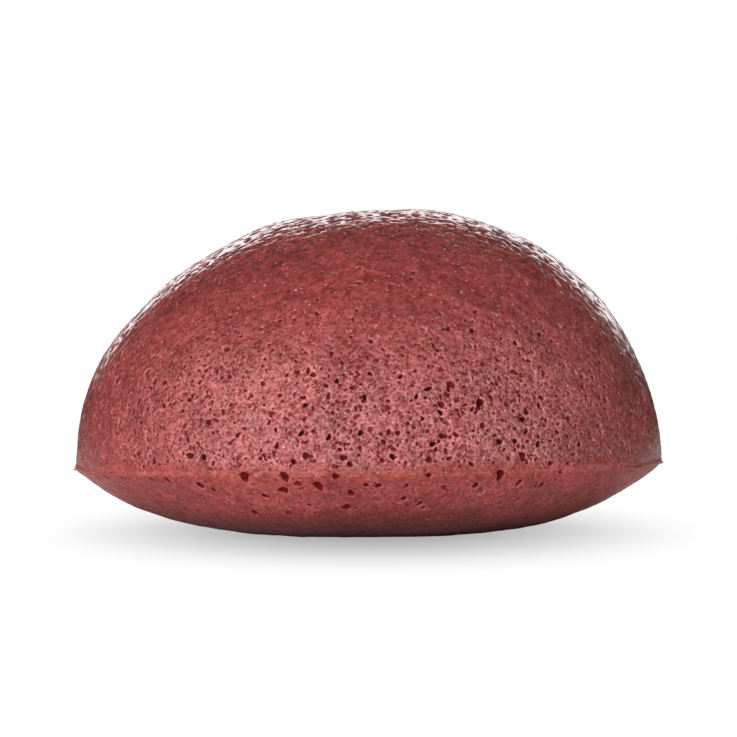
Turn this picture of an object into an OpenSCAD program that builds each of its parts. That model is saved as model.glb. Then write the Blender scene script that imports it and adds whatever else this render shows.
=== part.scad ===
// Konjac sponge: a half-ball facial sponge of moulded konjac foam, coloured with red clay.
// The dome was cast against a bowl-shaped mould, and the lower face was left free to bulge.
// +Z is up. The origin is the middle of the flat patch that the sponge rests on.

/* [Body] */
// Radius of the foam at the parting line, where the mould's rim was
body_r = 39.67; // [32:0.01:48]
// Height of the moulded dome above the parting line
dome_h = 34.95; // [26:0.01:42]
// Fullness of the dome's shoulders, where 2 is an ellipse
dome_fullness = 2.05; // [1.8:0.01:2.6]
// Height of the parting line above the surface that the sponge rests on
base_h = 9.05; // [6:0.01:14]
// How flat the free face stays before it turns up to the rim
base_power = 4; // [2.5:0.1:6]
// Radius of the flat patch that the sponge rests on
contact_r = 12; // [6:0.5:20]

/* [Skins] */
// Thickness of the denser skin that the mould left on the dome
dome_skin_t = 2; // [1.5:0.1:4]
// Thickness of the denser skin on the free face
base_skin_t = 2; // [1.5:0.1:4]

/* [Parting line] */
// How far the flash stands out from the foam
flash_proud = 0.33; // [0.2:0.01:0.8]
// Height of the flash's root on the foot of the dome
flash_h = 0.9; // [0.7:0.05:2]

/* [Pores] */
// Number of large open pores in the dome's skin
dome_pores = 60; // [30:10:70]
// Number of large open pores in the free face's skin
base_pores = 30; // [10:5:40]
// Radius of the smallest of these pores
pore_min_r = 0.35; // [0.25:0.01:0.5]
// Radius of the largest of these pores
pore_max_r = 0.85; // [0.6:0.01:1]

/* [Hidden] */

// Straight steps that an outline's curve is drawn in
dome_steps = 20;
base_steps = 8;
flash_steps = 4;
// Facets that the viewer draws round the body, and round a pore
$fn = 96;
pore_fn = 24;

// Pores are spread by the golden angle, and their sizes cycle through these shares
golden_turn = 137.508;
pore_size_shares = [0.1, 0.75, 0.3, 0, 0.5, 0.2, 1, 0.05, 0.4, 0.15, 0.6];
// The band of the dome that holds its pores, as shares of its height
dome_pore_low_share = 0.09;
dome_pore_high_share = 0.9;
// The band of the free face that holds its pores, as shares of its radius
base_pore_low_share = 0.45;
base_pore_high_share = 0.93;
// How far a pore's centre lies under the surface, as a share of its radius
pore_sink_share = 0.25;

function lerp(a, b, share) = a + (b - a) * share;

// A point of the dome's outline, from its foot at share 0 to its crown at share 1
function dome_point(radius, height, share) = [
    radius * pow(cos(90 * share), 2 / dome_fullness),
    base_h + height * pow(sin(90 * share), 2 / dome_fullness)
];
function dome_outline(radius, height) = concat(
    [for (i = [0:dome_steps - 1]) dome_point(radius, height, i / dome_steps)],
    [[0, base_h + height]]
);

// Height of the free face at radius r, for a face that turns up to the parting line at radius rim
function free_height(r, rim, floor_z) =
    lerp(floor_z, base_h, (pow(r, base_power) - pow(contact_r, base_power))
        / (pow(rim, base_power) - pow(contact_r, base_power)));
function free_point(r, rim, floor_z) = [r, free_height(r, rim, floor_z)];
function free_outline(rim, floor_z) = concat(
    [[0, floor_z]],
    [for (i = [0:base_steps]) free_point(lerp(contact_r, rim, i / base_steps), rim, floor_z)]
);

// Slope of the free face where it meets the rim
rim_slope = base_power * base_h * pow(body_r, base_power - 1)
    / (pow(body_r, base_power) - pow(contact_r, base_power));
flash_tip_z = base_h + min(flash_proud * rim_slope, flash_h / 2);

inner_dome_r = body_r - dome_skin_t;
inner_dome_h = dome_h - dome_skin_t;
inner_base_r = body_r - base_skin_t;

function backwards(points) = [for (i = [len(points) - 1:-1:0]) points[i]];
function pore_r(i) = lerp(pore_min_r, pore_max_r, pore_size_shares[i % len(pore_size_shares)]);

module dome_pits() {
    for (i = [0:dome_pores - 1]) {
        height_share = lerp(dome_pore_low_share, dome_pore_high_share, (i + 0.5) / dome_pores);
        angle = asin(pow(height_share, dome_fullness / 2));
        depth = pore_r(i) * pore_sink_share;
        spot = dome_point(body_r - depth, dome_h - depth, angle / 90);
        rotate([0, 0, (i + 0.5) * golden_turn])
            translate([spot[0], 0, spot[1]])
                sphere(r = pore_r(i), $fn = pore_fn);
    }
}

module base_pits() {
    for (i = [0:base_pores - 1]) {
        area_share = lerp(pow(base_pore_low_share, 2), pow(base_pore_high_share, 2), (i + 0.5) / base_pores);
        r = body_r * sqrt(area_share);
        rotate([0, 0, (i + 0.5) * golden_turn])
            translate([r, 0, free_height(r, body_r, 0) + pore_r(i) * pore_sink_share])
                sphere(r = pore_r(i), $fn = pore_fn);
    }
}

// The dome's moulded skin, a cap of even thickness with its open pores
module dome_skin() {
    color([0.66, 0.36, 0.35])
        difference() {
            rotate_extrude()
                polygon(concat(
                    dome_outline(body_r, dome_h),
                    backwards(dome_outline(inner_dome_r, inner_dome_h))
                ));
            dome_pits();
        }
}

// The open foam inside the dome, down to the parting plane
module dome_core() {
    color([0.75, 0.42, 0.4])
        rotate_extrude()
            polygon(concat([[0, base_h]], dome_outline(inner_dome_r, inner_dome_h)));
}

// The skin of the free face, a shallow dish that carries the sponge
module base_skin() {
    color([0.56, 0.28, 0.27])
        difference() {
            rotate_extrude()
                polygon(concat(
                    free_outline(body_r, 0),
                    backwards(free_outline(inner_base_r, base_skin_t))
                ));
            base_pits();
        }
}

// The open foam below the parting plane, in the free face's skin
module base_core() {
    color([0.72, 0.4, 0.38])
        rotate_extrude()
            polygon(concat(free_outline(inner_base_r, base_skin_t), [[0, base_h]]));
}

// The thin flash round the rim: its under side carries on the free face's slope, and it runs out up the dome
module rim_flash() {
    color([0.72, 0.34, 0.31])
        rotate_extrude()
            polygon(concat(
                [[body_r, base_h]],
                [for (i = [0:flash_steps]) let (share = i / flash_steps)
                    [body_r + flash_proud * pow(1 - share, 2), lerp(flash_tip_z, base_h + flash_h, share)]]
            ));
}

dome_skin();
dome_core();
base_skin();
base_core();
rim_flash();
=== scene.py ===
"""Looks of a konjac sponge: a half ball of soft red foam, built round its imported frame."""

import math
from types import SimpleNamespace

import bpy
import numpy as np
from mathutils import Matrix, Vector


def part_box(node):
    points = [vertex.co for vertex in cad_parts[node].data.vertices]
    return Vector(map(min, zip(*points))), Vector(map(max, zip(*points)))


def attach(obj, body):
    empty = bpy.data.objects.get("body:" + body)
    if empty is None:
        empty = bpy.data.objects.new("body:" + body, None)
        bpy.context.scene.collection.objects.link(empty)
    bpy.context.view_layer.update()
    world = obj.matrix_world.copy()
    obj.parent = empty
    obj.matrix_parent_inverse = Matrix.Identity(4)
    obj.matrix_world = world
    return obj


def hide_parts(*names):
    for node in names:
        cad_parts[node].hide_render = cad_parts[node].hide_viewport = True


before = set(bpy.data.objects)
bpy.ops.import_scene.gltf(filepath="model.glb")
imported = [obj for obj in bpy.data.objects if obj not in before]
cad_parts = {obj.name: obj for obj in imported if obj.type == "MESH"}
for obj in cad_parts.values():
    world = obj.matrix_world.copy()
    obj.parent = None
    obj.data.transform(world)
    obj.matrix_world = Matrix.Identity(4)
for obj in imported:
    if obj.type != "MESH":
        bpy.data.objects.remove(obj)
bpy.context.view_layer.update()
MM = 0.001

# Sizes of the body, read from the frame, in millimetres
skin_low, skin_high = (np.array(corner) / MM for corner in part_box("dome_skin"))
flash_low, flash_high = (np.array(corner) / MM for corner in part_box("rim_flash"))
core_high = np.array(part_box("dome_core")[1]) / MM
BODY_R = skin_high[0]
RIM_Z = skin_low[2]
DOME_H = skin_high[2] - RIM_Z
FLASH_PROUD = flash_high[0] - BODY_R
FLASH_H = flash_high[2] - flash_low[2]
SKIN_T = BODY_R - core_high[0]
# Shape of the two outlines, as in the solids
DOME_FULLNESS = 2.05
BASE_POWER = 4
CONTACT_R = 12
# Points that an outline is drawn with
OUTLINE_POINTS = 4001
# The parting line is a rounded corner, where the wall turns in to the underside's slope
CORNER_R = 1.5
UNDER_SLOPE = (BASE_POWER * RIM_Z * BODY_R ** (BASE_POWER - 1)
               / (BODY_R ** BASE_POWER - CONTACT_R ** BASE_POWER))
CORNER_TURN = math.pi / 2 - math.atan(UNDER_SLOPE)
CORNER_REACH = CORNER_R * math.tan(CORNER_TURN / 2)

# The real dome leans a little, between these heights: its right side is fuller than its left
LEAN = 0.055
LEAN_Z = (20, 42)
# The rim stands this much higher at the right end, and as much lower at the left
RIM_TILT = 0.48
# The parting line wavers by about this much, and so does the foam up to about this far from it
RIM_WAVER = 0.16
RIM_WAVER_REACH = 1.6
# Shallow hollows of the crown, and swells where the depth is negative: place across, half width and depth
CROWN_HOLLOWS = ((-4, 8, 0.5), (17.5, 5, 0.3), (-13, 4, -0.35), (3, 3.5, 0.3), (27, 4, 0.25), (-33, 4, 1.3))
# How much higher the underside is near its two ends: place across, half width and rise
UNDER_RISES = ((-28, 8, 0.45), (31, 6, 0.35))
# Shares of the body's radius: where the tilt and the rises are full, and where the waver starts and is full
TILT_FULL_SHARE = 0.72
RISE_FULL_SHARE = 0.6
WAVER_SHARES = (0.85, 0.97)

# Noise is read this many bumps away from 0, and is raised by this factor to reach about 1
NOISE_START = 1000
NOISE_GAIN = 1.6
# Noises that are added up: distance between bumps in millimetres, height and seed
DOME_WAVES = ((24, 0.2, 1), (9, 0.12, 2), (3.4, 0.04, 3))
BASE_WAVES = ((20, 0.2, 5), (7, 0.12, 6))
BASE_RIPPLES = ((2.6, 0.06, 7), (1.2, 0.035, 9))
RIM_WAVES = ((7, 1, 41), (2.5, 0.5, 42))
LIP_WAVES = ((6, 0.3, 21), (1.8, 0.2, 22), (0.7, 0.1, 23))
# Noises that are used alone: distance between bumps and seed
LUMPS = (1.4, 4)
BEADS = (0.75, 8)
PORE_DRIFT = (10, 31)
LIP_TIP = (3, 24)
# Height of the dome's lumps and of the beads on them, and how much more it is on the crown
LUMP_HEIGHT = 0.035
LUMP_CROWN = 0.06
BEAD_HEIGHT = 0.035
BEAD_CROWN = 0.045
# Heights between which the dome's open network closes, its pores thin out, its skin turns smooth, its lumps
# grow and its glints begin
CLOSING_Z = (18, 34)
THINNING_Z = (18, 31)
SMOOTHING_Z = (20, 33)
LUMPY_Z = (24, 40)
GLINTING_Z = (35, 41)

# Pores of the dome's front that stand out: place across, height and radius in millimetres
DOME_MAIN_PORES = (
    (14, 18.2, 0.55), (7.5, 20, 0.38), (-4, 21, 0.32), (-0.5, 19, 0.32), (-8, 18, 0.34), (-1, 14.5, 0.34),
    (-5, 14, 0.36), (3, 11.5, 0.36), (8, 13, 0.38), (6, 19, 0.3), (9, 17, 0.36), (-8.5, 14.5, 0.34),
    (-9.5, 11, 0.34), (-21, 11.5, 0.42), (4, 21.5, 0.3), (20, 17, 0.38), (19.5, 16, 0.42), (22, 18.8, 0.34),
    (27, 12.5, 0.34), (16.5, 13.2, 0.4), (18.5, 13.2, 0.34), (21.5, 12.7, 0.38), (23, 10, 0.38),
    (25.5, 10, 0.34),
)
DOME_MAIN_DEPTH = 0.7
DOME_MAIN_DARK = 1
# Small marks of the smooth crown: place across, height and radius
CROWN_MARKS = (
    (-6, 35.1, 0.26), (-4.8, 33, 0.24), (-1.2, 35.5, 0.24), (5.6, 36.2, 0.22), (5.8, 34.6, 0.26),
    (5.5, 33.8, 0.28), (6.8, 32.6, 0.22), (12.1, 34.9, 0.22), (3, 33, 0.22), (10.1, 27.4, 0.36),
    (12.4, 28.5, 0.24), (-11.3, 28.9, 0.26),
)
CROWN_MARK_DEPTH = 0.3
CROWN_MARK_DARK = 0.8
# Pits of the underside's front: place across, height and radius
BASE_MAIN_PITS = (
    (-10.7, 7.4, 0.55), (-6.3, 7.9, 0.6), (-2.2, 6.9, 0.45), (-0.3, 8, 0.35), (1.2, 7.8, 0.4),
    (-13.1, 6.6, 0.4), (-21.4, 7.8, 0.5), (-19.7, 7.2, 0.35), (4.8, 7.7, 0.3), (4.5, 5.9, 0.35),
    (6.5, 5.2, 0.35), (-14.5, 4.3, 0.4), (19, 7.8, 0.4), (22, 7.4, 0.35), (13.5, 7.6, 0.4),
)
BASE_MAIN_DEPTH = 0.4
BASE_MAIN_DARK = 0.6
# Pits that cross the seam: place across, height and radius
SEAM_PITS = (
    (-15.6, 9.2, 0.62), (-10.5, 9.3, 0.55), (-4.1, 9.3, 0.4), (16.6, 9, 0.6), (24.5, 9.2, 0.35),
    (7.5, 9.2, 0.3),
)
SEAM_PIT_DEPTH = 0.5
SEAM_PIT_DARK = 0.8
# Scattered pits of the dome: number, height that they start at, then ranges of radius, depth and darkness
# of their painted shade
DOME_PITS = (
    (36, 28, (0.42, 0.55), (0.5, 0.9), (0.5, 0.9)),
    (850, 41, (0.23, 0.38), (0.3, 0.6), (0.3, 0.8)),
    (1900, 41, (0.15, 0.24), (0.15, 0.3), (0.35, 0.8)),
)
# Scattered pits of the underside: number, then ranges of area share, radius, depth and darkness of their
# painted shade
BASE_PITS = (
    (36, (0.6, 0.97), (0.4, 0.58), (0.2, 0.35), (0.2, 0.55)),
    (240, (0.12, 0.98), (0.22, 0.38), (0.1, 0.25), (0.2, 0.5)),
    (500, (0.12, 0.98), (0.13, 0.2), (0.06, 0.14), (0.2, 0.5)),
)
# The open cells of a core, in the same way
CORE_PITS = (500, (0.01, 0.97), (0.4, 0.9), (0.3, 0.7), (0.35, 1))
# Seeds of the places of the pits
DOME_SEED = 11
BASE_SEED = 12
SEAM_SEED = 13
DOME_CORE_SEED = 13
BASE_CORE_SEED = 14
# Pits are up to this much longer than round
DOME_LONGEST = 1.35
BASE_LONGEST = 1.1
SEAM_LONGEST = 1.15
# Pits whose places are given are at least this much longer than round
PLACED_LEAST_LONG = 1.05
# Pits of the underside are this much longer down its slope, which is seen at a slant
BASE_PIT_TALL = 1.5
# A pit's outline wavers this many times round it, by this share of its radius
PIT_WAVERS = ((2, 0.12), (3, 0.1), (5, 0.05))
# Steepness of a pit's walls, where 2 is a round bowl
PIT_STEEPNESS = 2.6
# A pit's mark on the surface falls from 1 in its middle to 0 at this many radii
PORE_REACH = 1.6
# The mark's value at the edge of the pit
PORE_EDGE = 1 - 1 / PORE_REACH
# The grid's rows lie closer together than its mean cell is wide, by less than this factor
GRID_SQUEEZE = 1.3
# A pit isn't pressed where another one reaches this share of its radius
TAKEN_REACH = 0.7

# The lip at the parting line: points round it, and steps up its face
FLASH_TURNS = 1200
FLASH_STEPS = 6
# Depths of the lip's root and of its two edges in the foam, and how far its face lies outside the foam
FLASH_ROOT = 0.4
FLASH_SUNK = 0.08
FLASH_SKIN = 0.02
# How far the lip stands out away from its two ends, and the least and most, as shares of its full width
FLASH_MIDDLE_SHARE = 0.1
FLASH_SHARES = (0.03, 1.2)
# How much further its tip reaches at the two ends, and how much its tip rises and falls
FLASH_POINT = 0.12
FLASH_TIP_WAVER = 0.08
# Shares of the corner's turn at which the lip's underside starts and ends, and its face starts and ends
LIP_UNDER_SHARES = (0.85, 0.66)
LIP_FACE_SHARES = (0.45, -0.05)

# A core's surface lies this far inside its solid's, and up to this much more in bumps this far apart
CORE_GAP = 0.15
CORE_ROUGH = 0.1
CORE_ROUGH_CELL = 3
# Its flat side ends this far from the rim, and stands this far off the parting plane
CORE_RIM_GAP = 0.2
CORE_FLAT_GAP = 0.05

# Points along one side of the square grid that a surface is made from, and the triangles kept
DOME_GRID = 860
BASE_GRID = 560
CORE_GRID = 120
SKIN_FACES = 190000
CORE_FACES = 24000
# Rings of points that close a surface to a body
DOME_RINGS = 14
BASE_RINGS = 12
CORE_RINGS = 8

# Values at the points of the foam, which its material reads: its pits and the darkness of their painted
# shade, how open its network is, its seam, its smooth crown, painted shade towards its foot, and painted
# shade where its wet skin sinks
FOAM_MARKS = ("pore", "tone", "band", "seam", "crown", "damp", "dip")
# Scales of the foam's textures, where a larger number is finer
BLOTCH_SCALE = 130
PATCH_SCALE = 420
MOTTLE_SCALE = 750
KNOB_SCALE = 1300
FOLD_SCALE = 1500
CELL_SCALE = 1500
POINT_SCALE = 1500
SMALL_CELL_SCALE = 2500
GRAIN_SCALE = 2600
# How far the grain bends the cells, in millimetres
WARP = 0.4
# The underside's texture is unrolled from this radius outwards, and stretched down the slope
UNROLL_R = 22
UNROLL_STRETCH = 0.5
# The dome's right side has a painted sheen, with more green and blue: by how much, and the places across
# where it starts and is full
RIGHT_SHEEN = 0.16
RIGHT_SHEEN_X = (4, 24)

# Colours
RED = (0.385, 0.047, 0.043, 1)
PALE = (0.78, 0.275, 0.265, 1)
WARM = (0.46, 0.054, 0.043, 1)
# Colour of the painted glints: small bright points and strokes that stand for highlights on the wet foam
PAINTED_GLINT = (0.95, 0.64, 0.62, 1)
# Crimson and near black are painted shade: in the pits and cell hollows, in the relief's low spots, where
# the wet skin sinks and towards the foot
CRIMSON_SHADE = (0.27, 0.014, 0.014, 1)
DEEP_PIT_SHADE = (0.085, 0.004, 0.006, 1)
# The underside's red is lighter than the dome's: painted light, standing in for light from below
BASE_RED_PAINTED_LIGHTER = (0.525, 0.084, 0.078, 1)
BASE_PALE = (0.78, 0.28, 0.27, 1)
CORE_RED = (0.46, 0.13, 0.12, 1)
FLASH_WARM = (0.54, 0.1, 0.082, 1)
WHITE = (1, 1, 1, 1)
# Roughness of the wet crown, and of the pits and dips
WET_ROUGHNESS = 0.12
DULL_ROUGHNESS = 0.8
FOAM_IOR = 1.38

# Half the floor's side, in metres
FLOOR_HALF = 3
# The floor's colour to the light that it throws back at the sponge, and to the camera
FLOOR_LIT = (0.95, 0.95, 0.95, 1)
FLOOR_SEEN = (0.12, 0.12, 0.12, 1)
# The floor's glow, and the long soft oval in which it is dimmer, a painted shadow, in millimetres
FLOOR_GLOW = 0.98
SHADE_DEPTH = 0.59
SHADE_HALF_WIDTH = 33
SHADE_HALF_DEPTH = 76
SHADE_BACK = 12
# How sharply the oval ends, where 2 is a bell curve
SHADE_POWER = 3

# Even light of the room, and the little of it that gloss shows
ROOM_LIGHT = 0.15
ROOM_GLOSS = 0.02
# Gloss also shows a ring behind the sponge, which brightens and ends at these shares of straight back
RING_LIGHT = 2.6
RING_OUTER = (0.84, 0.875)
RING_INNER = (0.96, 0.98)
# It brightens with a ray's height too, and with its share of straight back and a part of its height
RING_HEIGHT = (0.08, 0.2)
RING_RISE = (0.975, 1.025)
RING_HEIGHT_PART = 0.5
# How much further it reaches out at the right, and down at both sides and at the left
RING_OUT_RIGHT = 0.08
RING_DOWN_SIDES = 0.07
RING_DOWN_LEFT = 0.04

# Places of the camera and of what it looks at, its nearest sight, and its lens, in millimetres
CAMERA_EYE = (0, -500, 26.9)
CAMERA_TARGET = (0, 0, 22.2)
CAMERA_NEAREST = 10
SENSOR_WIDTH = 36
FOCAL_LENGTH = 179.8


def smoothstep(low, high, value):
    """0 below low, 1 above high, and smooth between."""
    share = np.clip((value - low) / (high - low), 0, 1)
    return share * share * (3 - 2 * share)


def noise(points, cell, seed):
    """Smooth noise from about -1 to 1 at points, whose bumps are about cell millimetres apart."""
    rng = np.random.default_rng(seed)
    order = rng.permutation(256)
    arrows = rng.normal(size=(256, 3))
    arrows /= np.linalg.norm(arrows, axis=1, keepdims=True)
    place = points / cell + NOISE_START
    corner = np.floor(place).astype(np.int64)
    inside = place - corner
    ease = inside ** 3 * (inside * (inside * 6 - 15) + 10)
    total = np.zeros(points.shape[:-1])
    for step in np.ndindex(2, 2, 2):
        index = corner + step
        key = order[index[..., 0] & 255]
        key = order[(key + index[..., 1]) & 255]
        key = order[(key + index[..., 2]) & 255]
        value = np.einsum("...i,...i", arrows[key], inside - step)
        total += value * np.prod(np.where(step, ease, 1 - ease), axis=-1)
    return total * NOISE_GAIN


def waves(points, table):
    """The sum of several noises, from a table of their distances between bumps, heights and seeds."""
    return sum(height * noise(points, cell, seed) for cell, height, seed in table)


def disc_grid(count):
    """A square grid of points, spread evenly over the unit disc, so that no point crowds the middle."""
    line = np.linspace(-1, 1, count)
    u, v = np.meshgrid(line, line, indexing="ij")
    wide = np.abs(u) > np.abs(v)
    rho = np.where(wide, u, v)
    other = np.where(wide, v, u)
    turn = np.pi / 4 * other / rho
    angle = np.where(wide, turn, np.pi / 2 - turn)
    return rho * np.cos(angle), rho * np.sin(angle)


def grid_index(share, angle, count):
    """Where on the square grid a point of the disc lies, from its area share and angle."""
    rho = math.sqrt(share)
    quarter = (angle + math.pi / 4) // (math.pi / 2)
    across = rho * (angle - quarter * math.pi / 2) / (math.pi / 4)
    u, v = ((rho, across), (-across, rho), (-rho, -across), (across, -rho))[int(quarter) % 4]
    return (u + 1) / 2 * (count - 1), (v + 1) / 2 * (count - 1)


class Outline:
    """A curve from the axis to the rim, turned about Z, and looked up by the share of its area."""

    def __init__(self, radius, height, up):
        step_r, step_z = np.diff(radius), np.diff(height)
        ring = np.hypot(step_r, step_z) * (radius[1:] + radius[:-1])
        area = np.concatenate([[0], np.cumsum(ring)])
        self.area = area[-1] * np.pi
        self.share = area / area[-1]
        self.radius, self.height = radius, height
        slope_r, slope_z = np.gradient(radius), np.gradient(height)
        length = np.hypot(slope_r, slope_z)
        side = 1 if up else -1
        self.out_r, self.out_z = -side * slope_z / length, side * slope_r / length
        self.up = up

    def turned(self, share, angle, radii, heights):
        """Values along the curve, looked up by area share and turned to an angle."""
        r = np.interp(share, self.share, radii)
        z = np.interp(share, self.share, heights)
        return np.stack([r * np.cos(angle), r * np.sin(angle), z], axis=-1)

    def place(self, share, angle):
        """Points of the turned curve."""
        return self.turned(share, angle, self.radius, self.height)

    def normal(self, share, angle):
        """Directions straight out of the turned curve."""
        return self.turned(share, angle, self.out_r, self.out_z)

    def share_at_height(self, z):
        """The area share at which the curve reaches a height."""
        rising = self.height[-1] > self.height[0]
        heights, shares = (self.height, self.share) if rising else (self.height[::-1], self.share[::-1])
        return float(np.interp(z, heights, shares))


def corner_point(turn):
    """A point of the rounded corner, from the wall at 0 to the underside's slope at CORNER_TURN."""
    return BODY_R + CORNER_R * (np.cos(turn) - 1), RIM_Z + CORNER_REACH - CORNER_R * np.sin(turn)


def dome_outline(inset=0):
    """The dome's curve, with its half of the rounded corner unless it is inset."""
    turn = np.linspace(np.pi / 2, 0, OUTLINE_POINTS)
    radius = (BODY_R - inset) * np.clip(np.cos(turn), 0, 1) ** (2 / DOME_FULLNESS)
    height = RIM_Z + (DOME_H - inset) * np.sin(turn) ** (2 / DOME_FULLNESS)
    if inset == 0:
        to_corner = (height - RIM_Z) / CORNER_REACH
        corner_r, corner_z = corner_point(CORNER_TURN / 2 * (1 - to_corner))
        radius, height = np.where(to_corner < 1, (corner_r, corner_z), (radius, height))
    return Outline(radius, height, True)


def base_outline(inset=0):
    """The underside's curve, with its half of the rounded corner unless it is inset."""
    radius = np.linspace(0, BODY_R - inset, OUTLINE_POINTS)
    power = np.maximum(radius, CONTACT_R) ** BASE_POWER - CONTACT_R ** BASE_POWER
    height = inset + (RIM_Z - inset) * power / power[-1]
    if inset == 0:
        to_corner = np.hypot(BODY_R - radius, RIM_Z - height) / CORNER_REACH
        corner_r, corner_z = corner_point(CORNER_TURN / 2 * (1 + to_corner))
        radius, height = np.where(to_corner < 1, (corner_r, corner_z), (radius, height))
    return Outline(radius, height, False)


class Sheet:
    """A surface on the disc grid that pits are pressed into, with what the material reads from it."""

    def __init__(self, outline, count, tall=1):
        self.outline, self.count, self.tall = outline, count, tall
        u, v = disc_grid(count)
        self.angle = np.arctan2(v, u)
        self.share = np.clip(u * u + v * v, 0, 1)
        self.flat = outline.place(self.share, self.angle)
        self.out = outline.normal(self.share, self.angle)
        self.rise = np.zeros((count, count))
        self.pit = np.zeros((count, count))
        self.pore = np.zeros((count, count))
        self.tone = np.zeros((count, count))
        self.cell = math.sqrt(outline.area) / count

    def window(self, pit):
        """The rows and columns of the grid that a pit can reach."""
        reach = PORE_REACH * pit.size * pit.stretch * self.tall
        half = int(reach / self.cell * GRID_SQUEEZE) + 2
        row, column = (int(place) for place in grid_index(pit.share, pit.angle, self.count))
        rows = slice(max(row - half, 0), row + half + 2)
        columns = slice(max(column - half, 0), column + half + 2)
        return rows, columns

    def radii_away(self, pit, near, rng):
        """How far the points near a pit lie from its middle, in radii of its uneven outline."""
        out = self.outline.normal(pit.share, pit.angle)
        across = np.array([-math.sin(pit.angle), math.cos(pit.angle), 0])
        along = np.cross(out, across)
        away = self.flat[near] - pit.middle
        x, y = away @ across, away @ along / self.tall
        turn = rng.uniform(0, np.pi)
        long_x = (x * math.cos(turn) + y * math.sin(turn)) / (pit.size * pit.stretch)
        long_y = (y * math.cos(turn) - x * math.sin(turn)) / (pit.size / pit.stretch)
        bearing = np.arctan2(long_y, long_x)
        edge = 1
        for times, waver in PIT_WAVERS:
            edge = edge + waver * np.sin(times * bearing + rng.uniform(0, 6))
        return np.hypot(long_x, long_y) / edge

    def press(self, share, angle, size, stretch, depth, dark, rng, middle=None):
        """Presses one pit of an uneven outline into the sheet. size is its radius in millimetres."""
        middle = self.outline.place(share, angle) if middle is None else middle
        pit = SimpleNamespace(share=share, angle=angle, size=size, stretch=stretch, middle=middle)
        near = self.window(pit)
        rho = self.radii_away(pit, near, rng)
        bowl = depth * np.sqrt(np.clip(1 - rho ** PIT_STEEPNESS, 0, 1))
        self.pit[near] = np.maximum(self.pit[near], bowl)
        pore = np.clip(1 - rho / PORE_REACH, 0, 1)
        nearer = pore > self.pore[near]
        self.pore[near] = np.where(nearer, pore, self.pore[near])
        self.tone[near] = np.where(nearer, dark, self.tone[near])

    def taken(self, share, angle, size):
        """True where a pit of this size would cut well into one that is there."""
        half = int(TAKEN_REACH * size / self.cell) + 1
        row, column = (int(place) for place in grid_index(share, angle, self.count))
        near = self.pore[max(row - half, 0):row + half + 1, max(column - half, 0):column + half + 1]
        return near.max() > PORE_EDGE

    def scatter(self, number, shares, sizes, depths, darks, crowd, rng, longest=DOME_LONGEST):
        """Presses pits at random between two area shares, where crowd says how likely each spot is."""
        made = 0
        while made < number:
            share, angle = rng.uniform(*shares), rng.uniform(-np.pi, np.pi)
            pick = rng.uniform() ** 2
            size = sizes[0] + (sizes[1] - sizes[0]) * pick
            if rng.uniform() > crowd(self.outline.place(share, angle)) or self.taken(share, angle, size):
                continue
            depth = rng.uniform(*depths) * (0.5 + pick)
            dark = rng.uniform(*darks)
            self.press(share, angle, size, rng.uniform(1, longest), depth, dark, rng)
            made += 1

    def press_front(self, places, depth, dark, rng, longest=DOME_LONGEST):
        """Presses the pits whose places on the front are given."""
        for x, z, size in places:
            share = self.outline.share_at_height(z)
            radius = np.hypot(*self.outline.place(share, 0)[:2])
            angle = -math.acos(x / radius)
            self.press(share, angle, size, rng.uniform(PLACED_LEAST_LONG, longest), depth, dark, rng)

    def press_seam(self):
        """Presses the pits that cross the seam, alike on the dome and on the underside."""
        rng = np.random.default_rng(SEAM_SEED)
        radius = BODY_R - CORNER_R / 4
        for x, z, size in SEAM_PITS:
            angle = -math.acos(x / radius)
            middle = np.array([radius * math.cos(angle), radius * math.sin(angle), z])
            stretch = rng.uniform(PLACED_LEAST_LONG, SEAM_LONGEST)
            self.press(1, angle, size, stretch, SEAM_PIT_DEPTH, SEAM_PIT_DARK, rng, middle)

    def points(self):
        """The sheet's points, with its waves and its pits."""
        return self.flat + self.out * (self.rise - self.pit)[..., None]


def settle(points):
    """Gives the even body its real lean, the tilt and waver of its rim, and its hollows and rises."""
    x, y, z = points[..., 0], points[..., 1], points[..., 2]
    radius = np.hypot(x, y)
    leaning = smoothstep(*LEAN_Z, z)
    near_rim = smoothstep(CONTACT_R, TILT_FULL_SHARE * BODY_R, radius)
    near_rim *= 1 - smoothstep(RIM_Z, LEAN_Z[0], z)
    moved = points.copy()
    moved[..., 2] += LEAN * x * leaning + RIM_TILT * x / BODY_R * near_rim
    at_rim = np.exp(-((z - RIM_Z) / RIM_WAVER_REACH) ** 2)
    at_rim *= smoothstep(*(share * BODY_R for share in WAVER_SHARES), radius)
    moved[..., 2] += RIM_WAVER * waves(points * (1, 1, 0), RIM_WAVES) * at_rim
    for hollow_x, width, depth in CROWN_HOLLOWS:
        share = np.exp(-((x - hollow_x) / width) ** 2 - (y / (2 * width)) ** 2)
        moved[..., 2] -= depth * share * leaning
    for rise_x, width, rise in UNDER_RISES:
        share = np.exp(-((x - rise_x) / width) ** 2) * (1 - smoothstep(RIM_Z - 3, RIM_Z, z))
        moved[..., 2] += rise * share * smoothstep(CONTACT_R, RISE_FULL_SHARE * BODY_R, radius)
    return moved


def add_object(name, data):
    """Puts a new object with this data in the scene."""
    made = bpy.data.objects.new(name, data)
    bpy.context.scene.collection.objects.link(made)
    return made


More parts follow.
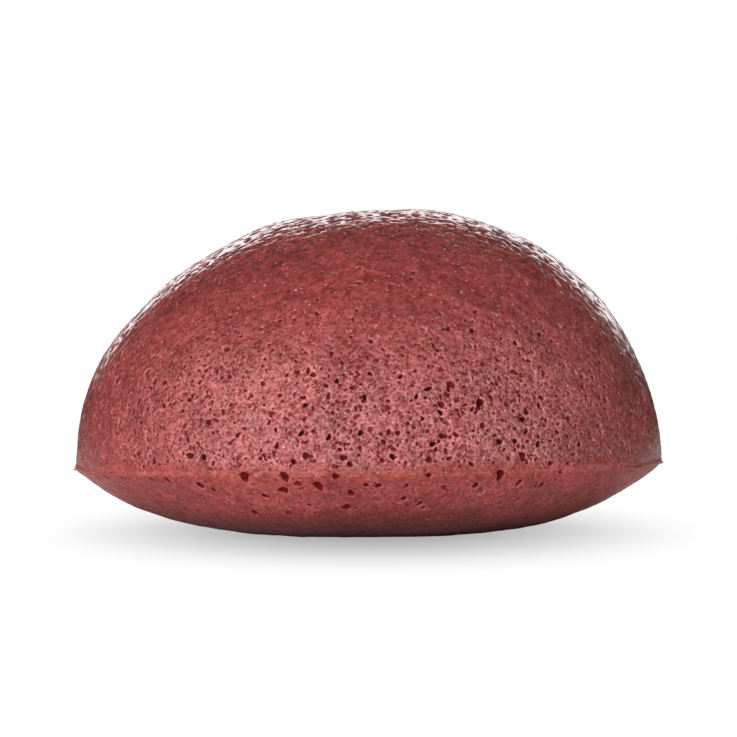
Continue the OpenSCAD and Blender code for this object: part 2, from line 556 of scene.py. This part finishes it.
def make_piece(name, points, quads, triangles, values, material):
    """A mesh object from points in millimetres, with named values at its points."""
    mesh = bpy.data.meshes.new(name)
    mesh.vertices.add(len(points))
    mesh.vertices.foreach_set("co", (points * MM).astype(np.float32).ravel())
    corners = np.concatenate([quads.ravel(), triangles.ravel()]).astype(np.int32)
    sizes = np.concatenate([np.full(len(quads), 4), np.full(len(triangles), 3)])
    starts = np.concatenate([[0], np.cumsum(sizes)[:-1]]).astype(np.int32)
    mesh.loops.add(len(corners))
    mesh.loops.foreach_set("vertex_index", corners)
    mesh.polygons.add(len(sizes))
    mesh.polygons.foreach_set("loop_start", starts)
    mesh.update(calc_edges=True)
    mesh.shade_smooth()
    for key, value in values.items():
        attribute = mesh.attributes.new(key, "FLOAT", "POINT")
        attribute.data.foreach_set("value", value.astype(np.float32).ravel())
    mesh.materials.append(material)
    return add_object(name, mesh)


def thin_out(piece, faces):
    """Keeps about this many triangles, most of them where the surface bends."""
    piece.data.calc_loop_triangles()
    tool = piece.modifiers.new("thin out", "DECIMATE")
    tool.ratio = min(1, faces / len(piece.data.loop_triangles))
    with bpy.context.temp_override(object=piece, active_object=piece):
        bpy.ops.object.modifier_apply(modifier=tool.name)
    piece.data.shade_smooth()


def circle(radius, angle, height):
    """Points round the axis at the given angles."""
    return np.stack([radius * np.cos(angle), radius * np.sin(angle), height + 0 * angle], axis=-1)


def close_sheet(sheet, rings):
    """Points and faces of a closed body: the sheet, and rings that lead from its rim to the axis."""
    n = sheet.count
    index = np.arange(n * n).reshape(n, n)
    corners = [index[:-1, :-1], index[1:, :-1], index[1:, 1:], index[:-1, 1:]]
    quads = [np.stack(corners, axis=-1).reshape(-1, 4)]
    last = np.concatenate([index[:-1, 0], index[-1, :-1], index[:0:-1, -1], index[0, :0:-1]])
    angle = sheet.angle.ravel()[last]
    points = [sheet.points().reshape(-1, 3)]
    start = n * n
    for radius, height in rings[:-1]:
        points.append(circle(radius, angle, height))
        ring = np.arange(start, start + len(last))
        quads.append(np.stack([ring, np.roll(ring, -1), np.roll(last, -1), last], axis=-1))
        start += len(last)
        last = ring
    points.append(np.array([[0, 0, rings[-1][1]]]))
    quads = np.concatenate(quads)
    fan = np.stack([np.full(len(last), start), np.roll(last, -1), last], axis=-1)
    if not sheet.outline.up:
        quads, fan = quads[:, ::-1], fan[:, ::-1]
    return np.concatenate(points), quads, fan


def inner_rings(outline, steps):
    """Rings along an inner outline, from its rim at the parting plane to the axis."""
    shares = np.linspace(1, 0, steps) ** 2
    rings = [(place[0], place[2]) for place in outline.place(shares, 0)]
    rings[0] = (rings[0][0], RIM_Z)
    return rings


def foam_values(total, **known):
    """What the material reads at the points of a body: the values known of the first ones, and else 0."""
    values = {name: np.zeros(total) for name in FOAM_MARKS}
    for name, grid in known.items():
        values[name][:grid.size] = grid.ravel()
    return values


def dome_crowd(place):
    """How many pores a spot of the dome has, as a share of the most."""
    x, y, z = place
    to_front = abs(y) / math.hypot(x, y)
    band = smoothstep(RIM_Z, RIM_Z + 2.2, z) * (1 - 0.95 * smoothstep(*THINNING_Z, z))
    facing = 0.2 + 0.8 * smoothstep(0.4, 0.85, to_front)
    drift = 0.84 + 0.28 * float(noise(np.array([place]), *PORE_DRIFT)[0])
    return band * facing * np.clip(drift, 0.2, 1)


def base_crowd(place):
    """How many pits a spot of the underside has, as a share of the most."""
    return 0.25 + 0.75 * smoothstep(1.5, 6.5, place[2])


def end_share(points, low, high):
    """0 where a spot faces the front or back, and 1 where it faces the left or right end."""
    radius = np.maximum(np.hypot(points[..., 0], points[..., 1]), 1)
    return smoothstep(low, high, np.abs(points[..., 0]) / radius)


def raise_dome(sheet, ends):
    """Gives the dome its waves, lumps and beads, and returns how far each spot of its wet skin sinks
    between them, where the material paints shade.
    """
    z = sheet.flat[..., 2]
    crown = np.maximum(smoothstep(*LUMPY_Z, z), 0.35 * ends)
    lumps = noise(sheet.flat, *LUMPS)
    beads = noise(sheet.flat, *BEADS)
    sheet.rise = waves(sheet.flat, DOME_WAVES)
    sheet.rise += (LUMP_HEIGHT + LUMP_CROWN * crown) * lumps + (BEAD_HEIGHT + BEAD_CROWN * crown) * beads
    sheet.rise *= smoothstep(RIM_Z + 0.1, RIM_Z + 1.2, z)
    glinting = smoothstep(*GLINTING_Z, z + 0.2 * np.abs(sheet.flat[..., 0]))
    return np.maximum(glinting, 0.8 * ends) * smoothstep(-0.12, 0.3, -0.8 * lumps - beads)


def make_dome(material):
    """The dome's skin: a band of open pores, and above it a smooth wet crown."""
    rng = np.random.default_rng(DOME_SEED)
    sheet = Sheet(dome_outline(), DOME_GRID)
    z = sheet.flat[..., 2]
    ends = end_share(sheet.flat, 0.75, 0.93) * smoothstep(RIM_Z + 4, RIM_Z + 12, z)
    # Where the wet skin sinks between its lumps, the material paints shade
    shaded_dips = raise_dome(sheet, ends)
    sheet.press_seam()
    sheet.press_front(DOME_MAIN_PORES, DOME_MAIN_DEPTH, DOME_MAIN_DARK, rng)
    sheet.press_front(CROWN_MARKS, CROWN_MARK_DEPTH, CROWN_MARK_DARK, rng)
    foot = sheet.outline.share_at_height(RIM_Z + 0.3)
    for number, top_z, sizes, depths, darks in DOME_PITS:
        shares = (sheet.outline.share_at_height(top_z), foot)
        sheet.scatter(number, shares, sizes, depths, darks, dome_crowd, rng)
    points, quads, fan = close_sheet(sheet, inner_rings(dome_outline(SKIN_T), DOME_RINGS))
    band = smoothstep(RIM_Z - 1, RIM_Z + 2.2, z) * (1 - smoothstep(*CLOSING_Z, z))
    values = foam_values(
        len(points),
        pore=sheet.pore,
        tone=sheet.tone,
        band=band * (1 - 0.75 * end_share(sheet.flat, 0.45, 0.85)),
        seam=0.9 - 0.9 * smoothstep(RIM_Z + 0.6, RIM_Z + 2, z),
        crown=np.maximum(smoothstep(*SMOOTHING_Z, z), ends),
        dip=shaded_dips,
    )
    piece = make_piece("dome_skin_foam", settle(points), quads, fan, values, material)
    thin_out(piece, SKIN_FACES)
    return piece


def make_base(material):
    """The underside's skin: more even than the dome's, with shallow pits, and painted shade towards its
    foot.
    """
    rng = np.random.default_rng(BASE_SEED)
    sheet = Sheet(base_outline(), BASE_GRID, BASE_PIT_TALL)
    z = sheet.flat[..., 2]
    radius = np.hypot(sheet.flat[..., 0], sheet.flat[..., 1])
    fade = (1 - smoothstep(RIM_Z - 1, RIM_Z - 0.1, z)) * smoothstep(CONTACT_R, CONTACT_R + 8, radius)
    sheet.rise = (waves(sheet.flat, BASE_WAVES) + waves(sheet.flat, BASE_RIPPLES)) * fade
    sheet.press_seam()
    sheet.press_front(BASE_MAIN_PITS, BASE_MAIN_DEPTH, BASE_MAIN_DARK, rng, BASE_LONGEST)
    for number, shares, sizes, depths, darks in BASE_PITS:
        sheet.scatter(number, shares, sizes, depths, darks, base_crowd, rng, BASE_LONGEST)
    points, quads, fan = close_sheet(sheet, inner_rings(base_outline(SKIN_T), BASE_RINGS))
    values = foam_values(
        len(points),
        pore=sheet.pore,
        tone=sheet.tone,
        band=0.2 + 0.2 * smoothstep(2, RIM_Z, z),
        seam=0.7 * smoothstep(RIM_Z - 1.4, RIM_Z - 0.2, z),
        # Painted shade, darker towards the foot
        damp=1 - smoothstep(0.2, 6, z),
    )
    piece = make_piece("base_skin_foam", settle(points), quads, fan, values, material)
    thin_out(piece, SKIN_FACES)
    return piece


def make_core(name, outline, flat_z, seed, material):
    """A solid core of open foam, flat at the parting plane."""
    rng = np.random.default_rng(seed)
    sheet = Sheet(outline, CORE_GRID)
    sheet.rise = -CORE_GAP - CORE_ROUGH * np.abs(noise(sheet.flat, CORE_ROUGH_CELL, seed))
    sheet.scatter(*CORE_PITS, lambda place: 1, rng)
    rim = outline.radius[-1] - CORE_RIM_GAP
    rings = [(rim * share, flat_z) for share in np.linspace(1, 0, CORE_RINGS)]
    points, quads, fan = close_sheet(sheet, rings)
    values = foam_values(len(points), pore=sheet.pore, tone=sheet.tone, band=np.ones(len(points)))
    piece = make_piece(name, settle(points), quads, fan, values, material)
    thin_out(piece, CORE_FACES)
    return piece


def flash_rings(angle):
    """Radius and height of the lip's rings, from its root in the underside, round its tip, to the wall."""
    rim = circle(BODY_R, angle, 0)
    ends = np.cos(angle) ** 4
    proud = FLASH_MIDDLE_SHARE + (1 - FLASH_MIDDLE_SHARE) * ends + waves(rim, LIP_WAVES) * (1 - 0.5 * ends)
    proud = FLASH_PROUD * np.clip(proud, *FLASH_SHARES)
    corner_r, corner_z = corner_point(CORNER_TURN / 2)
    out_r, out_z = math.cos(CORNER_TURN / 2), -math.sin(CORNER_TURN / 2)
    tip_r = corner_r + proud + FLASH_POINT * ends
    tip_z = corner_z + proud * 0.5 * out_z + FLASH_TIP_WAVER * noise(rim, *LIP_TIP)
    first_r, first_z = corner_point(CORNER_TURN * LIP_UNDER_SHARES[0])
    under_r, under_z = corner_point(CORNER_TURN * LIP_UNDER_SHARES[1])
    rings = [(under_r - FLASH_ROOT * out_r, under_z - FLASH_ROOT * out_z)]
    rings += [(first_r - FLASH_SUNK, first_z), (under_r, under_z)]
    face_start, face_end = LIP_FACE_SHARES
    for step in range(FLASH_STEPS + 1):
        share = step / FLASH_STEPS
        wall_r, wall_z = corner_point(CORNER_TURN * (face_start + (face_end - face_start) * share))
        wall_r += FLASH_SKIN
        near_tip = (1 - share) ** 2
        rings.append((wall_r + (tip_r - wall_r) * near_tip, wall_z + (tip_z - wall_z) * near_tip))
    top_z = RIM_Z + FLASH_H
    return rings + [(BODY_R - FLASH_SUNK, top_z), (BODY_R - FLASH_ROOT, top_z)]


def seam_sink(angle):
    """How far the lip is drawn in at each angle, so that it covers no pit of the seam."""
    sink = np.zeros(len(angle))
    for x, _, size in SEAM_PITS:
        away = (angle + math.acos(x / BODY_R) + np.pi) % (2 * np.pi) - np.pi
        sink = np.maximum(sink, np.exp(-(away * BODY_R / (1.3 * size)) ** 4))
    return 2 * SEAM_PIT_DEPTH * sink


def make_flash(material):
    """The lip at the parting line: plain at both ends, almost gone where the foam has closed over it."""
    angle = np.linspace(0, 2 * np.pi, FLASH_TURNS, endpoint=False)
    sink = seam_sink(angle)
    points = [circle(radius - sink, angle, height) for radius, height in flash_rings(angle)]
    index = np.arange(len(points) * FLASH_TURNS).reshape(len(points), FLASH_TURNS)
    around, onward = np.roll(index, -1, axis=1), np.roll(index, -1, axis=0)
    both = np.roll(onward, -1, axis=1)
    quads = np.stack([index, around, both, onward], axis=-1).reshape(-1, 4)
    points = np.concatenate(points)
    even = np.ones(len(points))
    values = foam_values(len(points), band=0.5 * even, seam=0.8 * even)
    return make_piece("rim_flash_foam", settle(points), quads, np.zeros((0, 3), int), values, material)


def empty_tree(owner):
    """The shader tree of a material or world, with nothing in it yet."""
    owner.use_nodes = True
    owner.node_tree.nodes.clear()
    return owner.node_tree


def add_node(tree, kind, inputs=None, **settings):
    """Makes a shader node, sets it up, and links or fills its inputs."""
    made = tree.nodes.new(kind)
    for key, value in settings.items():
        setattr(made, key, value)
    for key, value in (inputs or {}).items():
        value = value.socket if isinstance(value, Number) else value
        if isinstance(value, bpy.types.NodeSocket):
            tree.links.new(value, made.inputs[key])
        else:
            made.inputs[key].default_value = value
    return made


class Number:
    """A number that a shader node gives, which can be added, multiplied and mapped like a plain one."""

    def __init__(self, tree, node, output=0):
        self.tree, self.socket = tree, node.outputs[output]

    def calculate(self, operation, *others):
        """What this number and others give."""
        inputs = dict(enumerate((self,) + others))
        return Number(self.tree, add_node(self.tree, "ShaderNodeMath", inputs, operation=operation))

    def __add__(self, other):
        return self.calculate("ADD", other)

    def __mul__(self, other):
        return self.calculate("MULTIPLY", other)

    def most(self, other):
        """The larger of this number and another."""
        return self.calculate("MAXIMUM", other)

    def ramp(self, low, high, to_low=0, to_high=1):
        """This number's range from low to high, as from to_low to to_high."""
        inputs = {"Value": self, "From Min": low, "From Max": high, "To Min": to_low, "To Max": to_high}
        return Number(self.tree, add_node(self.tree, "ShaderNodeMapRange", inputs), "Result")

    def between(self, at_none, at_full):
        """One value where this number is 0, another where it is 1, and even between."""
        return self.ramp(0, 1, at_none, at_full)


def vector_node(tree, operation, *values):
    """The node of a calculation with vectors."""
    return add_node(tree, "ShaderNodeVectorMath", dict(enumerate(values)), operation=operation)


def vector_part(tree, vector, axis):
    """One of a vector's three numbers."""
    return Number(tree, add_node(tree, "ShaderNodeSeparateXYZ", {"Vector": vector}), axis)


def mix(tree, share, first, second, mode="MIX"):
    """Mixes two colours."""
    inputs = {0: share, 6: first, 7: second}
    return add_node(tree, "ShaderNodeMix", inputs, data_type="RGBA", blend_type=mode).outputs[2]


def mark(tree, name):
    """A value that the mesh holds at its points."""
    return Number(tree, add_node(tree, "ShaderNodeAttribute", attribute_name=name), "Fac")


def noise_node(tree, where, scale, detail=2):
    """A noise texture, which gives a number and a colour."""
    return add_node(tree, "ShaderNodeTexNoise", {"Vector": where, "Scale": scale, "Detail": detail})


def noise_number(tree, where, scale, detail=2):
    """Noise from 0 to 1, mostly near 0.5."""
    return Number(tree, noise_node(tree, where, scale, detail), "Fac")


def random_cells(tree, where, scale):
    """Distance to the middle of a Voronoi cell, and three random numbers that belong to the cell."""
    cells = add_node(tree, "ShaderNodeTexVoronoi", {"Vector": where, "Scale": scale}, feature="F1")
    draw = add_node(tree, "ShaderNodeSeparateColor", {"Color": cells.outputs["Color"]})
    return SimpleNamespace(
        distance=Number(tree, cells, "Distance"),
        first=Number(tree, draw, "Red"),
        second=Number(tree, draw, "Green"),
        third=Number(tree, draw, "Blue"),
    )


def specks(tree, where, scale, largest, share):
    """Spots of uneven size, at a share of the cells of a Voronoi pattern."""
    cells = random_cells(tree, where, scale)
    radius = cells.first.between(0.4, 1) * largest
    spot = cells.distance.calculate("DIVIDE", radius).ramp(1, 0.65)
    return spot * cells.second.calculate("LESS_THAN", share) * cells.third.between(0.45, 1)


def foam_cells(tree, where, scale):
    """Walls and hollows of foam cells: a Voronoi pattern, whose hollows differ in depth."""
    inputs = {"Vector": where, "Scale": scale}
    edges = add_node(tree, "ShaderNodeTexVoronoi", inputs, feature="DISTANCE_TO_EDGE")
    from_edge = Number(tree, edges, "Distance")
    wall = from_edge.ramp(0.03, 0.24, 1, 0)
    hollow = from_edge.ramp(0.1, 0.22) * random_cells(tree, where, scale).first.ramp(0.88, 1)
    return wall, hollow


def unrolled(tree, here):
    """Texture places for a shallow slope, which keep the grain even round it and stretched down it."""
    across = vector_node(tree, "MULTIPLY", here, (1, 1, 0)).outputs[0]
    radius = Number(tree, vector_node(tree, "LENGTH", across), "Value")
    inputs = {0: BODY_R * MM, 1: radius.most(UNROLL_R * MM)}
    share = add_node(tree, "ShaderNodeMath", inputs, operation="DIVIDE").outputs[0]
    height = vector_part(tree, here, "Z") + radius * UNROLL_STRETCH
    scale = add_node(tree, "ShaderNodeCombineXYZ", {"X": share, "Y": share, "Z": 0.0}).outputs[0]
    lift = add_node(tree, "ShaderNodeCombineXYZ", {"Z": height}).outputs[0]
    flat = vector_node(tree, "MULTIPLY", across, scale).outputs[0]
    return vector_node(tree, "ADD", flat, lift).outputs[0]


def painted_right_sheen(tree, here):
    """Painted sheen: how much more green and blue the foam's colour has, from its left to its right."""
    return vector_part(tree, here, "X").ramp(RIGHT_SHEEN_X[0] * MM, RIGHT_SHEEN_X[1] * MM, 1, 1 + RIGHT_SHEEN)


def brighten(tree, colour, light, sheen):
    """Makes a colour lighter or darker, and changes its green and blue once more, by the right side's
    painted sheen.
    """
    sheened_light = light * sheen
    inputs = {"Red": light, "Green": sheened_light, "Blue": sheened_light}
    shade = add_node(tree, "ShaderNodeCombineColor", inputs).outputs["Color"]
    return mix(tree, 1, colour, shade, "MULTIPLY")


def foam_texture(tree, here, marks):
    """The foam's grain and knobs, its fine folds, and the walls and hollows of its cells."""
    grain_node = noise_node(tree, here, GRAIN_SCALE, 1)
    warp = (WARP * MM, WARP * MM, WARP * MM)
    warp = vector_node(tree, "MULTIPLY", grain_node.outputs["Color"], warp).outputs[0]
    where = vector_node(tree, "ADD", here, warp).outputs[0]
    wall, hollow = foam_cells(tree, where, CELL_SCALE)
    small_wall, small_hollow = foam_cells(tree, where, SMALL_CELL_SCALE)
    grain = Number(tree, grain_node, "Fac")
    knob = noise_number(tree, here, KNOB_SCALE)
    off_fold = noise_number(tree, here, FOLD_SCALE, 1).calculate("SUBTRACT", 0.5).calculate("ABSOLUTE")
    return SimpleNamespace(
        grain=grain,
        fine=grain.ramp(0.4, 0.6),
        knob=knob,
        coarse=knob.ramp(0.38, 0.62),
        crinkle=off_fold.ramp(0.08, 0.01),
        walls=wall.most(small_wall * 0.7),
        hollows=hollow.most(small_hollow * 0.8) * marks.band.between(0.12, 0.75),
        open_share=marks.band.between(0.36, 0.87),
    )


def foam_matrix(tree, texture, marks, dense, warm):
    """Colour of the foam between its pale walls: warmer at the seam, crimson as painted shade in the
    relief's low spots, where the wet skin sinks, and towards the foot.
    """
    low_relief_shade = texture.fine.ramp(0.7, 0) * texture.coarse.ramp(0.8, 0) * marks.band.between(0.1, 0.58)
    matrix = mix(tree, marks.seam * 0.8, dense, warm)
    # Painted shade: crimson in the relief's low spots, where the wet skin sinks, and towards the foot
    return mix(tree, low_relief_shade.most(marks.dip).most(marks.damp) * 0.7, matrix, CRIMSON_SHADE)


def foam_paleness(texture, marks):
    """Share of the pale colour: on the cells' walls, and on the lips of the pits."""
    network = texture.walls * 0.2 + texture.fine * marks.band.between(0.2, 0.35) + texture.coarse * 0.3
    lip = marks.pore.ramp(PORE_EDGE - 0.3, PORE_EDGE - 0.08) * texture.fine.between(0.15, 0.7)
    return (network * texture.open_share + lip) * marks.seam.between(1, 0.45)


def foam_light(tree, here, texture, marks):
    """How light the foam is: uneven in blotches of many sizes, with painted shade where its wet skin sinks,
    on its crown and ends, and towards its foot.
    """
    light = noise_number(tree, here, BLOTCH_SCALE).ramp(0.3, 0.7, 0.86, 1.12)
    light = light * noise_number(tree, here, PATCH_SCALE).ramp(0.3, 0.7, 0.82, 1.16)
    light = light * texture.knob.ramp(0.35, 0.65, 0.89, 1.09)
    mottle = noise_number(tree, here, MOTTLE_SCALE)
    light = light * mottle.ramp(0.35, 0.65, marks.crown.between(1, 0.86), marks.crown.between(1, 1.14))
    # Painted shade: darker where the wet skin sinks between its lumps, and a little darker on the crown and
    # at both ends
    light = light * (marks.dip.between(1, 0.66) * marks.crown.between(1, 0.93))
    # Painted shade: darker towards the foot
    return light * marks.damp.between(1, 0.45)


def painted_glints(tree, here, texture, marks):
    """Share of the painted glints: small bright points and strokes, highlights painted into the colour."""
    points = specks(tree, here, POINT_SCALE, largest=0.34, share=0.6) * marks.band.between(0.45, 0.75)
    points = points * marks.crown.between(1, 1.6) * texture.fine
    strokes = texture.crinkle * texture.grain.ramp(0.4, 0.52) * texture.open_share
    return points.most(strokes * marks.band.between(0.06, 0.17))


def painted_pit_shade(texture, marks):
    """Share of the painted shade: dark colours in the pits, whose edges are ragged, and in the cells'
    hollows.
    """
    ragged = marks.pore + texture.grain.ramp(0.3, 0.7, -0.08, 0.08)
    pit = ragged.ramp(PORE_EDGE - 0.08, PORE_EDGE + 0.1) * marks.tone
    return pit.most(texture.hollows)


def foam_height(texture, marks):
    """Height of the foam's finest relief."""
    height = (texture.crinkle * 0.6 + texture.fine) * marks.crown.between(0.8, 0.15)
    height = height + texture.knob * 2 + texture.hollows * -1.5
    return height * marks.band.between(0.1, 0.8)


def foam(name, dense, warm, roughness, grain_height, pale=PALE, shine=0.4, shallow=False):
    """Damp konjac foam: pale cell walls round red hollows, with dark pores and small bright points; the
    points are painted glints, and the darkness of the pores and hollows is painted shade.
    """
    material = bpy.data.materials.new(name)
    tree = empty_tree(material)
    here = add_node(tree, "ShaderNodeTexCoord").outputs["Object"]
    sheen = 1 if shallow else painted_right_sheen(tree, here)
    here = unrolled(tree, here) if shallow else here
    marks = SimpleNamespace(**{key: mark(tree, key) for key in FOAM_MARKS})
    texture = foam_texture(tree, here, marks)
    pit_shade = painted_pit_shade(texture, marks)
    colour = foam_matrix(tree, texture, marks, dense, warm)
    colour = mix(tree, foam_paleness(texture, marks), colour, pale)
    # Uneven blotches with painted shade, and the painted sheen of the right side
    colour = brighten(tree, colour, foam_light(tree, here, texture, marks), sheen)
    # Painted highlight: small bright points and strokes, more of them on the crown
    colour = mix(tree, painted_glints(tree, here, texture, marks), colour, PAINTED_GLINT)
    # Painted shade: the pits and the cells' hollows turn crimson, and near black where darkest
    colour = mix(tree, pit_shade.ramp(0, 0.5), colour, CRIMSON_SHADE)
    colour = mix(tree, pit_shade.ramp(0.45, 1), colour, DEEP_PIT_SHADE)
    dull = pit_shade.most(marks.dip) * DULL_ROUGHNESS
    relief = {"Height": foam_height(texture, marks), "Distance": grain_height * MM, "Strength": 1}
    surface = add_node(tree, "ShaderNodeBsdfPrincipled", {
        "Base Color": colour,
        "Roughness": marks.crown.between(roughness, WET_ROUGHNESS).most(dull),
        "Specular IOR Level": shine,
        "IOR": FOAM_IOR,
        "Normal": add_node(tree, "ShaderNodeBump", relief).outputs["Normal"],
    })
    add_node(tree, "ShaderNodeOutputMaterial", {"Surface": surface.outputs["BSDF"]})
    return material


def dress(piece, node):
    """Lets a piece stand for its solid: hides the solid and hangs the piece under the root."""
    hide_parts(node)
    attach(piece, "root")


def floor_glow_with_painted_shadow(tree):
    """How much the floor shines towards the camera: white, and dimmer in a soft oval round the sponge, a
    painted shadow.
    """
    here = add_node(tree, "ShaderNodeTexCoord").outputs["Object"]
    away = vector_node(tree, "SUBTRACT", here, (0, SHADE_BACK * MM, 0)).outputs[0]
    size = (SHADE_HALF_WIDTH * MM, SHADE_HALF_DEPTH * MM, 1)
    away = vector_node(tree, "DIVIDE", away, size).outputs[0]
    square = Number(tree, vector_node(tree, "DOT_PRODUCT", away, away), "Value")
    shade = (square.calculate("POWER", SHADE_POWER / 2) * -1).calculate("EXPONENT")
    return shade * -SHADE_DEPTH + FLOOR_GLOW


def make_floor():
    """A pale floor that shows white to the camera, apart from the sponge's soft shadow, which is painted
    into its glow, along with a faint real one.
    """
    corners = [(x * FLOOR_HALF, y * FLOOR_HALF, 0) for x, y in ((-1, -1), (1, -1), (1, 1), (-1, 1))]
    mesh = bpy.data.meshes.new("floor")
    mesh.from_pydata(corners, [], [(0, 1, 2, 3)])
    floor = add_object("floor", mesh)
    material = bpy.data.materials.new("floor")
    tree = empty_tree(material)
    rays = add_node(tree, "ShaderNodeLightPath")
    lit = add_node(tree, "ShaderNodeBsdfDiffuse", {"Color": FLOOR_LIT})
    seen = add_node(tree, "ShaderNodeBsdfDiffuse", {"Color": FLOOR_SEEN})
    # White glow with the sponge's painted shadow
    glow = add_node(tree, "ShaderNodeEmission", {"Color": WHITE, "Strength": floor_glow_with_painted_shadow(tree)})
    shown = add_node(tree, "ShaderNodeAddShader", {0: seen.outputs[0], 1: glow.outputs[0]})
    pick = add_node(tree, "ShaderNodeMixShader", {
        0: rays.outputs["Is Camera Ray"],
        1: lit.outputs[0],
        2: shown.outputs[0],
    })
    add_node(tree, "ShaderNodeOutputMaterial", {"Surface": pick.outputs[0]})
    mesh.materials.append(material)


def room_gloss(tree):
    """What gloss shows of the room: little, and a bright ring behind the sponge."""
    towards = add_node(tree, "ShaderNodeTexCoord").outputs["Generated"]
    right, back, height = (vector_part(tree, towards, axis) for axis in "XYZ")
    outer = (back + right * RING_OUT_RIGHT).ramp(*RING_OUTER)
    sides = right.calculate("ABSOLUTE") * RING_DOWN_SIDES + right * -RING_DOWN_LEFT
    rise = (back + height * RING_HEIGHT_PART + sides).ramp(*RING_RISE)
    ring = outer * rise * back.ramp(*RING_INNER, 1, 0)
    return ring * height.ramp(*RING_HEIGHT) * RING_LIGHT + ROOM_GLOSS


def make_world():
    """A white room: white to the camera, a dim even light, and in gloss a ring behind the sponge."""
    world = bpy.data.worlds.new("studio")
    bpy.context.scene.world = world
    tree = empty_tree(world)
    rays = add_node(tree, "ShaderNodeLightPath")
    seen = Number(tree, rays, "Is Camera Ray").most(Number(tree, rays, "Is Transmission Ray"))
    glossy = Number(tree, rays, "Is Glossy Ray")
    lit = add_node(tree, "ShaderNodeMix", {0: glossy, 2: ROOM_LIGHT, 3: room_gloss(tree)})
    strength = add_node(tree, "ShaderNodeMix", {0: seen, 2: lit.outputs[0], 3: 1.0})
    sky = add_node(tree, "ShaderNodeBackground", {"Color": WHITE, "Strength": strength.outputs[0]})
    add_node(tree, "ShaderNodeOutputWorld", {"Surface": sky.outputs[0]})


def make_sun(name, irradiance, azimuth, elevation, softness):
    """A soft studio lamp. Azimuth 0 is on the camera's side, and it grows towards the left."""
    lamp = bpy.data.lights.new(name, "SUN")
    lamp.energy = irradiance * math.pi
    lamp.angle = math.radians(softness)
    sun = add_object(name, lamp)
    side, rise = math.radians(azimuth), math.radians(elevation)
    towards = Vector((-math.sin(side) * math.cos(rise), -math.cos(side) * math.cos(rise), math.sin(rise)))
    sun.rotation_euler = towards.to_track_quat("Z", "Y").to_euler()
    sun.location = towards
    return sun


def make_camera():
    """The camera, which looks along +Y at the sponge from about level height."""
    eye = Vector(CAMERA_EYE) * MM
    target = Vector(CAMERA_TARGET) * MM
    lens = bpy.data.cameras.new("camera")
    lens.sensor_width = SENSOR_WIDTH
    lens.lens = FOCAL_LENGTH
    lens.clip_start = CAMERA_NEAREST * MM
    camera = add_object("camera", lens)
    camera.location = eye
    camera.rotation_euler = (target - eye).to_track_quat("-Z", "Y").to_euler()
    bpy.context.scene.camera = camera


make_camera()
make_world()
make_floor()
make_sun("key", irradiance=0.36, azimuth=40, elevation=10, softness=28)
make_sun("fill", irradiance=0.35, azimuth=5, elevation=14, softness=28)
make_sun("top", irradiance=0.32, azimuth=180, elevation=52, softness=40).visible_glossy = False

dome_foam = foam("dome_foam", RED, WARM, roughness=0.22, grain_height=0.06)
base_foam = foam("base_foam", BASE_RED_PAINTED_LIGHTER, WARM, roughness=0.3, grain_height=0.06,
                 pale=BASE_PALE, shine=0.12, shallow=True)
core_foam = foam("core_foam", CORE_RED, WARM, roughness=0.5, grain_height=0.08)
flash_foam = foam("flash_foam", RED, FLASH_WARM, roughness=0.3, grain_height=0.05)

dress(make_dome(dome_foam), "dome_skin")
dress(make_base(base_foam), "base_skin")
dress(make_flash(flash_foam), "rim_flash")
dome_core = make_core("dome_core_foam", dome_outline(SKIN_T), RIM_Z + CORE_FLAT_GAP,
                      DOME_CORE_SEED, core_foam)
dress(dome_core, "dome_core")
base_core = make_core("base_core_foam", base_outline(SKIN_T), RIM_Z - CORE_FLAT_GAP,
                      BASE_CORE_SEED, core_foam)
dress(base_core, "base_core")

view = bpy.context.scene.view_settings
view.view_transform = "Standard"
